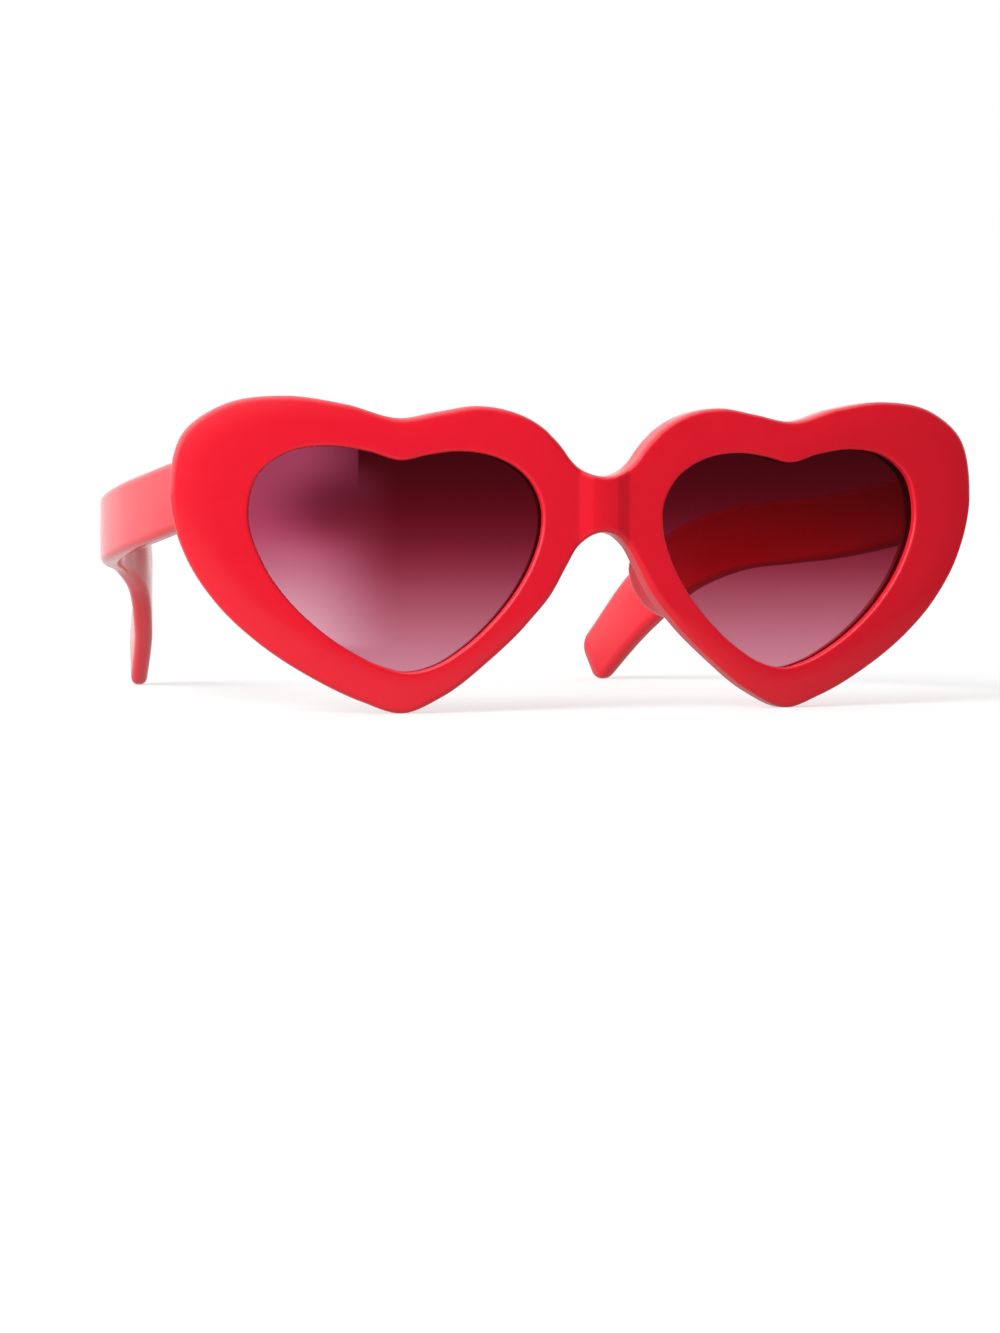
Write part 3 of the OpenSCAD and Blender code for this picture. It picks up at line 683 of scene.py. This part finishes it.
# Small screws: two in each hinge plate, slotted and countersunk, turned from steel. One tree
# makes a screw from its sizes and sets it on every place of a plate.
SMALL_D, SMALL_HEAD_D, SMALL_L, SLOT_W = 1.1 * MM, 2 * MM, 2.6 * MM, 0.4 * MM
SCREW_RISE_SHARE, FRONT_SCREW_SHARE, TEMPLE_SCREW_SHARES = 0.3, 0.72, (0.24, 0.76)
SCREW_SIDES = 40


def screw_tree():
    """The tree that turns every point of a mesh into a slotted screw."""
    tree = bpy.data.node_groups.new("slotted screws", "GeometryNodeTree")
    sizes = {"Head Diameter": SMALL_HEAD_D, "Shank Diameter": SMALL_D, "Length": SMALL_L,
             "Slot Width": SLOT_W}
    tree.interface.new_socket("Geometry", in_out="INPUT", socket_type="NodeSocketGeometry")
    for label, value in sizes.items():
        tree.interface.new_socket(label, in_out="INPUT",
                                  socket_type="NodeSocketFloat").default_value = value
    tree.interface.new_socket("Turn", in_out="INPUT", socket_type="NodeSocketVector")
    tree.interface.new_socket("Geometry", in_out="OUTPUT", socket_type="NodeSocketGeometry")
    given, out = tree.nodes.new("NodeGroupInput"), tree.nodes.new("NodeGroupOutput")
    head_d, shank_d, length, slot = (given.outputs[label] for label in sizes)

    def number(operation, a, b):
        """A sum, product or quotient of two numbers."""
        return add(tree, "ShaderNodeMath", {0: a, 1: b}, operation=operation).outputs[0]

    def up(z):
        """A move along the screw's axis."""
        return add(tree, "ShaderNodeCombineXYZ", {"Z": z}).outputs[0]

    head_r, shank_r = number("DIVIDE", head_d, 2.0), number("DIVIDE", shank_d, 2.0)
    cone_h = number("SUBTRACT", head_r, shank_r)
    head = add(tree, "GeometryNodeMeshCone", {
        "Vertices": SCREW_SIDES, "Radius Top": head_r, "Radius Bottom": shank_r,
        "Depth": cone_h})
    head_at = add(tree, "GeometryNodeTransform", {
        "Geometry": head.outputs["Mesh"], "Translation": up(number("MULTIPLY", cone_h, -1.0))})
    shank = add(tree, "GeometryNodeMeshCylinder", {
        "Vertices": SCREW_SIDES, "Radius": shank_r,
        "Depth": number("SUBTRACT", length, cone_h)})
    shank_at = add(tree, "GeometryNodeTransform", {
        "Geometry": shank.outputs["Mesh"],
        "Translation": up(number("MULTIPLY", number("ADD", length, cone_h), -0.5))})
    bar = add(tree, "GeometryNodeMeshCube", {"Size": add(tree, "ShaderNodeCombineXYZ", {
        "X": number("MULTIPLY", head_d, 2.0), "Y": slot,
        "Z": number("MULTIPLY", slot, 2.0)}).outputs[0]})
    cut = add(tree, "GeometryNodeMeshBoolean", {"Mesh 1": head_at.outputs[0],
                                                "Mesh 2": bar.outputs["Mesh"]},
              operation="DIFFERENCE", solver="EXACT")
    screw = add(tree, "GeometryNodeJoinGeometry")
    tree.links.new(cut.outputs["Mesh"], screw.inputs[0])
    tree.links.new(shank_at.outputs[0], screw.inputs[0])
    points = add(tree, "GeometryNodeMeshToPoints", {"Mesh": given.outputs["Geometry"]})
    placed = add(tree, "GeometryNodeInstanceOnPoints", {
        "Points": points.outputs[0], "Instance": screw.outputs[0],
        "Rotation": given.outputs["Turn"]})
    real = add(tree, "GeometryNodeRealizeInstances", {"Geometry": placed.outputs[0]})
    paint = add(tree, "GeometryNodeSetMaterial", {"Geometry": real.outputs[0],
                                                  "Material": turned_steel})
    tree.links.new(paint.outputs[0], out.inputs[0])
    return tree


small_screws = screw_tree()
turn_input = next(s.identifier for s in small_screws.interface.items_tree
                  if s.item_type == "SOCKET" and s.name == "Turn")


def screw_set(name, node, body, places, frame_turn, axis, side):
    """The small screws of one plate: places and axis are in the hinge's own frame."""
    turn = Matrix.Rotation(frame_turn, 3, "Z")
    spots = mirrored([tuple(turn @ Vector(p) + Vector(PIN_PLACE)) for p in places], side)
    mesh = bpy.data.meshes.new(name)
    mesh.from_pydata([tuple(s) for s in spots], [], [])
    piece = linked(name, mesh)
    out = turn @ Vector(axis)
    out.x *= side
    step = piece.modifiers.new("screws", "NODES")
    step.node_group = small_screws
    step[turn_input] = out.to_track_quat("Z", "Y").to_euler()
    finished(piece)
    shade(piece)
    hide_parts(node)
    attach(piece, body)


for name, side in SIDES.items():
    screw_set("front_plate_screws_" + name, "front_leaf_screws_" + name, "front",
              [(-FRONT_LEAF_W * FRONT_SCREW_SHARE, LEAF_PROUD - PIN_BACK,
                up * HINGE_H * SCREW_RISE_SHARE) for up in (-1, 1)],
              PIN_TURN, (0, 1, 0), side)
    screw_set("temple_plate_screws_" + name, "temple_leaf_screws_" + name,
              "temple_arm_" + name,
              [(PIN_OUT - TEMPLE_T - LEAF_PROUD, KNUCKLE_R + TEMPLE_LEAF_L * share,
                TEMPLE_LEAF_H * SCREW_RISE_SHARE) for share in TEMPLE_SCREW_SHARES],
              SPLAY, (-1, 0, 0), side)

# Floor and air: a plain white floor under the pair in a white room, which is bright behind
# the pair and dim on the camera's side.
FLOOR_NEAR, FLOOR_FAR, FLOOR_WIDE = -2.5, 3.0, 3.0
FLOOR_SHARE, NEAR_GLOW, FAR_GLOW, GLOW_START, GLOW_END = 0.5, 0.55, 0.74, 0.05, 1.0
SHEEN_AIM, SHEEN_NEAR, SHEEN_FAR = (-1.5, 1, 0), -0.45, 0.4
DIM_AIR, DIM_SHEEN, BRIGHT_AIR, BRIGHT_SHEEN = 0.37, 0.06, 0.7, 1.0
BOX_AIM, BOX_START, BOX_FULL, BOX_LEVEL = (-0.6, -0.05, 0.8), 0.17, 1.0, 3.2
AIR_NEAR, AIR_FAR, WHITE, FLOOR_GREY = -0.4, 0.15, "#ffffff", "#d0d0d0"


def either(tree, a, b):
    """The larger of two shares."""
    return add(tree, "ShaderNodeMath", {0: a, 1: b}, operation="MAXIMUM").outputs[0]


floor_paint, tree, out = material("matt white floor paint")
path = add(tree, "ShaderNodeLightPath").outputs
place = add(tree, "ShaderNodeTexCoord").outputs["Object"]
away = add(tree, "ShaderNodeVectorMath", {0: place}, operation="LENGTH")
glow_level = ranged(tree, away.outputs["Value"], GLOW_START, GLOW_END, NEAR_GLOW, FAR_GLOW)
leftwards = add(tree, "ShaderNodeVectorMath", {0: place, 1: SHEEN_AIM},
                operation="DOT_PRODUCT")
sheen_level = ranged(tree, leftwards.outputs["Value"], SHEEN_NEAR, SHEEN_FAR, DIM_SHEEN,
                     BRIGHT_SHEEN)
matt = add(tree, "ShaderNodeBsdfDiffuse", {"Color": linear(FLOOR_GREY)})
sheen = add(tree, "ShaderNodeEmission", {"Color": linear(WHITE), "Strength": sheen_level})
shown = add(tree, "ShaderNodeBsdfDiffuse", {"Color": (FLOOR_SHARE,) * 3 + (1,)})
glow = add(tree, "ShaderNodeEmission", {"Color": linear(WHITE), "Strength": glow_level})
both = add(tree, "ShaderNodeAddShader", {0: shown.outputs[0], 1: glow.outputs[0]})
mirrored_floor = add(tree, "ShaderNodeMixShader", {
    0: path["Is Glossy Ray"], 1: matt.outputs[0], 2: sheen.outputs[0]})
mix = add(tree, "ShaderNodeMixShader", {
    0: either(tree, path["Is Camera Ray"], path["Is Transmission Ray"]),
    1: mirrored_floor.outputs[0], 2: both.outputs[0]})
tree.links.new(mix.outputs[0], out.inputs["Surface"])
floor = solid("floor", [(-FLOOR_WIDE, FLOOR_NEAR, 0), (FLOOR_WIDE, FLOOR_NEAR, 0),
                        (FLOOR_WIDE, FLOOR_FAR, 0), (-FLOOR_WIDE, FLOOR_FAR, 0)],
              [(0, 1, 2, 3)], floor_paint)

world = bpy.data.worlds.new("white room")
bpy.context.scene.world = world
world.use_nodes = True
tree = world.node_tree
tree.nodes.clear()
path = add(tree, "ShaderNodeLightPath").outputs
towards = add(tree, "ShaderNodeTexCoord").outputs["Generated"]
backwards = add(tree, "ShaderNodeSeparateXYZ", {"Vector": towards}).outputs["Y"]
sheen, air = (ranged(tree, backwards, AIR_NEAR, AIR_FAR, dim, bright)
              for dim, bright in ((DIM_SHEEN, BRIGHT_SHEEN), (DIM_AIR, BRIGHT_AIR)))
boxwards = add(tree, "ShaderNodeVectorMath", {0: towards, 1: BOX_AIM},
               operation="DOT_PRODUCT")
soft_box = ranged(tree, boxwards.outputs["Value"], BOX_START, BOX_FULL, 0.0, BOX_LEVEL,
                  kind="SMOOTHSTEP")
mirrored_air = add(tree, "ShaderNodeMath", {0: sheen, 1: soft_box})
unseen = add(tree, "ShaderNodeMix", {"Factor": path["Is Glossy Ray"], "A": air,
                                     "B": mirrored_air.outputs[0]})
level = add(tree, "ShaderNodeMix", {
    "Factor": either(tree, path["Is Camera Ray"], path["Is Transmission Ray"]),
    "A": unseen.outputs["Result"], "B": 1.0})
backdrop = add(tree, "ShaderNodeBackground", {"Color": linear(WHITE),
                                              "Strength": level.outputs["Result"]})
add(tree, "ShaderNodeOutputWorld", {"Surface": backdrop.outputs[0]})

# Lamps: a big soft key lamp on the wearer's right, and a low panel in front that only the
# lenses mirror. It fades to one side and in a soft dark spot, and turns pale to its foot.
# Places on the panel are given as shares of its width and its height.
KEY_PLACE, KEY_AIM, KEY_SIZE, KEY_LEVEL = (-1.17, -0.70, 0.75), (0, -0.03, 0.03), 1.0, 8.1
PANEL_W, PANEL_H, PANEL_LEVEL = 98.9 * MM, 53.1 * MM, 8.5
PANEL_PLACE = (-0.0607, -0.35, 0.02715)
FADE_START, FADE_END, FOOT_END = 1.0, 0.37, 0.06
SPOT_MIDDLE, SPOT_SIZE, SPOT_START, SPOT_LEFT = (0.63, 0.68, 0), (0.5, 0.25, 1), 0.1, 0.3
FRAME_AT, FRAME_LOW, FRAME_SHARP = 0.76, 0.74, 0.93
PANEL_ROSE, PANEL_PALE = (1, 0.16, 0.35, 1), (1, 0.8, 0.97, 1)
PALE_END, ROSE_START = 0.1, 0.66


def soft_lamp(name, place, aim, width, height, radiance, in_mirrors=True):
    """A rectangular lamp that looks that bright from any side in front of it."""
    data = bpy.data.lights.new(name, "AREA")
    data.shape, data.size, data.size_y = "RECTANGLE", width, height
    data.energy = radiance * width * height * math.pi
    lamp = linked(name, data)
    lamp.location = place
    lamp.rotation_euler = (Vector(aim) - Vector(place)).to_track_quat("-Z", "Y").to_euler()
    lamp.visible_glossy = in_mirrors
    return lamp


soft_lamp("key_lamp", KEY_PLACE, KEY_AIM, KEY_SIZE, KEY_SIZE, KEY_LEVEL, in_mirrors=False)
panel = soft_lamp("rose_panel", PANEL_PLACE, (PANEL_PLACE[0], 0, PANEL_PLACE[2]), PANEL_W,
                  PANEL_H, PANEL_LEVEL)
panel.visible_camera = panel.visible_diffuse = panel.visible_transmission = False
panel.light_linking.receiver_collection = lens_pair
panel.data.use_nodes = True
tree = panel.data.node_tree
place = add(tree, "ShaderNodeNewGeometry").outputs["Parametric"]
across, up, _ = add(tree, "ShaderNodeSeparateXYZ", {"Vector": place}).outputs
from_spot = add(tree, "ShaderNodeVectorMath", {0: place, 1: SPOT_MIDDLE},
                operation="SUBTRACT")
in_sizes = add(tree, "ShaderNodeVectorMath", {0: from_spot.outputs["Vector"], 1: SPOT_SIZE},
               operation="DIVIDE")
apart = add(tree, "ShaderNodeVectorMath", {0: in_sizes.outputs["Vector"]}, operation="LENGTH")
beside = add(tree, "ShaderNodeMath", {0: across, 1: FRAME_AT}, operation="LESS_THAN")
below = ranged(tree, up, FRAME_SHARP, FRAME_LOW, kind="SMOOTHSTEP")
level = either(tree, beside.outputs[0], below)
for value, start, end, least in ((across, FADE_START, FADE_END, 0.0), (up, 0.0, FOOT_END, 0.0),
                                 (apart.outputs["Value"], SPOT_START, 1.0, SPOT_LEFT)):
    share = ranged(tree, value, start, end, least, kind="SMOOTHSTEP")
    level = add(tree, "ShaderNodeMath", {0: level, 1: share}, operation="MULTIPLY").outputs[0]
upwards = ranged(tree, up, PALE_END, ROSE_START, kind="SMOOTHSTEP")
cast = add(tree, "ShaderNodeMix", {"Factor": upwards, "A": PANEL_PALE, "B": PANEL_ROSE},
           data_type="RGBA")
tree.links.new(level, tree.nodes["Emission"].inputs["Strength"])
tree.links.new(cast.outputs["Result"], tree.nodes["Emission"].inputs["Color"])

view = bpy.context.scene.view_settings
view.view_transform = "Standard"
